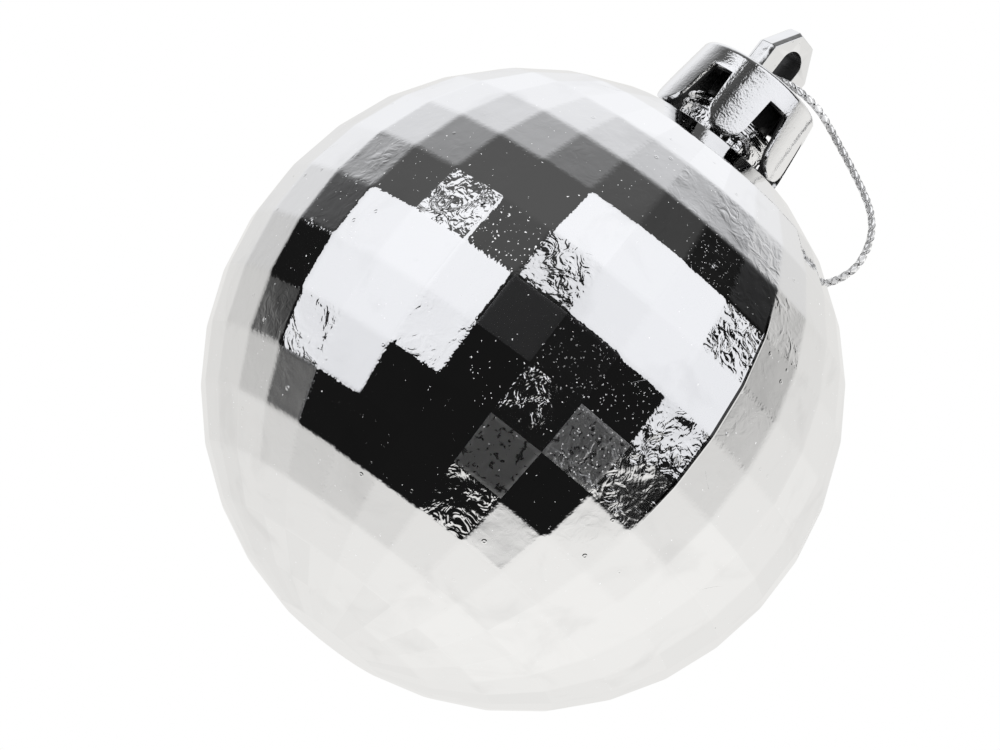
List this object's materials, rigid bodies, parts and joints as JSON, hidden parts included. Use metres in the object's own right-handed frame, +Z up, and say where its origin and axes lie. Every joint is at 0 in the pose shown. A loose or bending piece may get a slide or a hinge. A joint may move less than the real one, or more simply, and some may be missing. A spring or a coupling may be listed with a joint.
{
  "type": "mirror ball bauble",
  "caption": "Hanging mirror ball: a hollow faceted silver ball plugged by a crown cap with an eyelet and a thin braided cord loop to hang it by.",
  "frame": {"origin": "centre of the hole in the eyelet, where the bauble hangs", "axes": "+Z up along the ball's axis, out of the eyelet; the side that the camera saw faces -Y, and +X is to its right"},
  "size_m": [0.0598, 0.0607, 0.0725],
  "materials": {
    "silver_mirror_plastic": "vacuum-metallised mirror film on moulded plastic",
    "silver_cap_plastic": "vacuum-metallised, a little softer than the ball",
    "silver_braid": "braided metallic thread"
  },
  "bodies": {
    "cap": {"crown_cap": "silver_cap_plastic"},
    "ball": {"ball_shell": "silver_mirror_plastic"},
    "cord": {"hanging_cord": "silver_braid", "cord_knot": "silver_braid"}
  },
  "joints": [
    {"name": "cap_pull_off", "type": "slide", "parent": "cap", "child": "ball", "axis": [0, 0, -1], "range_m": [0, 0.006]},
    {"name": "cord_swing", "type": "hinge", "parent": "cap", "child": "cord", "pos_m": [0, 0, -0.0014], "axis": [0.6947, -0.7193, 0], "range_deg": [0, 150]}
  ]
}
